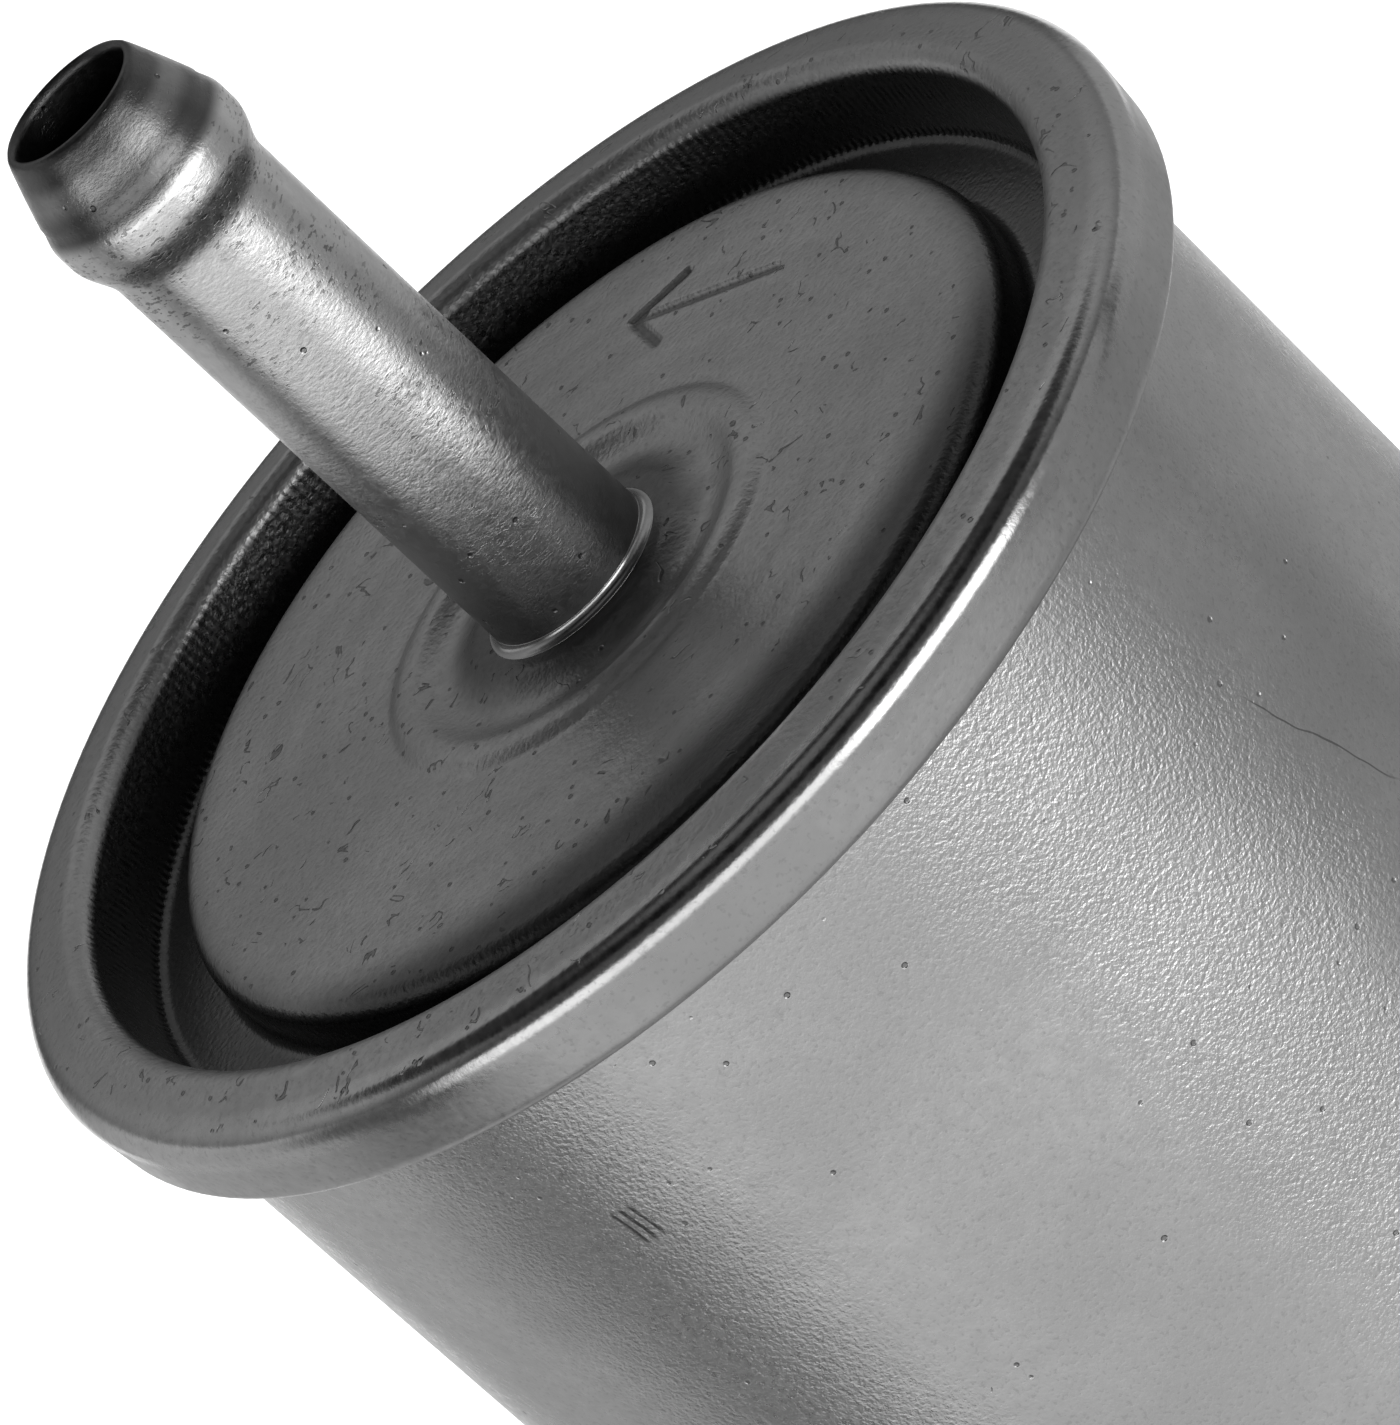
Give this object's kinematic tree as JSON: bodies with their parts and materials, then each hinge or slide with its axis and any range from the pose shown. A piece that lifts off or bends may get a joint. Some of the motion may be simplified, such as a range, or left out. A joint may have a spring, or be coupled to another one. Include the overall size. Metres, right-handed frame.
{
  "type": "fuel filter",
  "caption": "Sealed in-line fuel filter: drawn steel can with a double-seamed cover, a beaded hose nipple at each end and a pleated paper element inside.",
  "frame": {"origin": "on the can's axis, half-way up the straight barrel, at the middle of the bracket band", "axes": "+Z along the can's axis towards the outlet nipple, in the direction of flow; X and Y across the can"},
  "size_m": [0.059, 0.059, 0.1368],
  "materials": {
    "can_steel": "satin, fine orange-peel grain drawn round the can",
    "cover_steel": "satin, dull grey plate with fine pits and scratches",
    "nipple_steel": "satin, drawn tube with small pits",
    "braze_metal": "smooth and bright",
    "sealant": "matte",
    "spring_steel": "oiled wire",
    "tinned_steel": "bright tinned sheet",
    "guide_plastic": "matte black nylon",
    "adhesive": "cured cast resin",
    "paper": "resin-cured filter paper",
    "seal_rubber": "matte moulded rubber"
  },
  "bodies": {
    "root": {"canister": "can_steel", "outlet_cover": "cover_steel", "seam_sealant": "sealant", "outlet_nipple": "nipple_steel", "outlet_braze_ring": "braze_metal", "inlet_nipple": "nipple_steel", "inlet_braze_ring": "braze_metal", "inlet_baffle": "tinned_steel", "support_spring": "spring_steel", "spring_seat": "tinned_steel", "centring_ring": "guide_plastic", "bottom_end_cap": "tinned_steel", "bottom_adhesive": "adhesive", "filter_paper": "paper", "pleat_seam_clip": "tinned_steel", "centre_tube": "tinned_steel", "top_adhesive": "adhesive", "top_end_cap": "tinned_steel", "outlet_seal": "seal_rubber", "seal_retainer": "tinned_steel"}
  },
  "joints": []
}
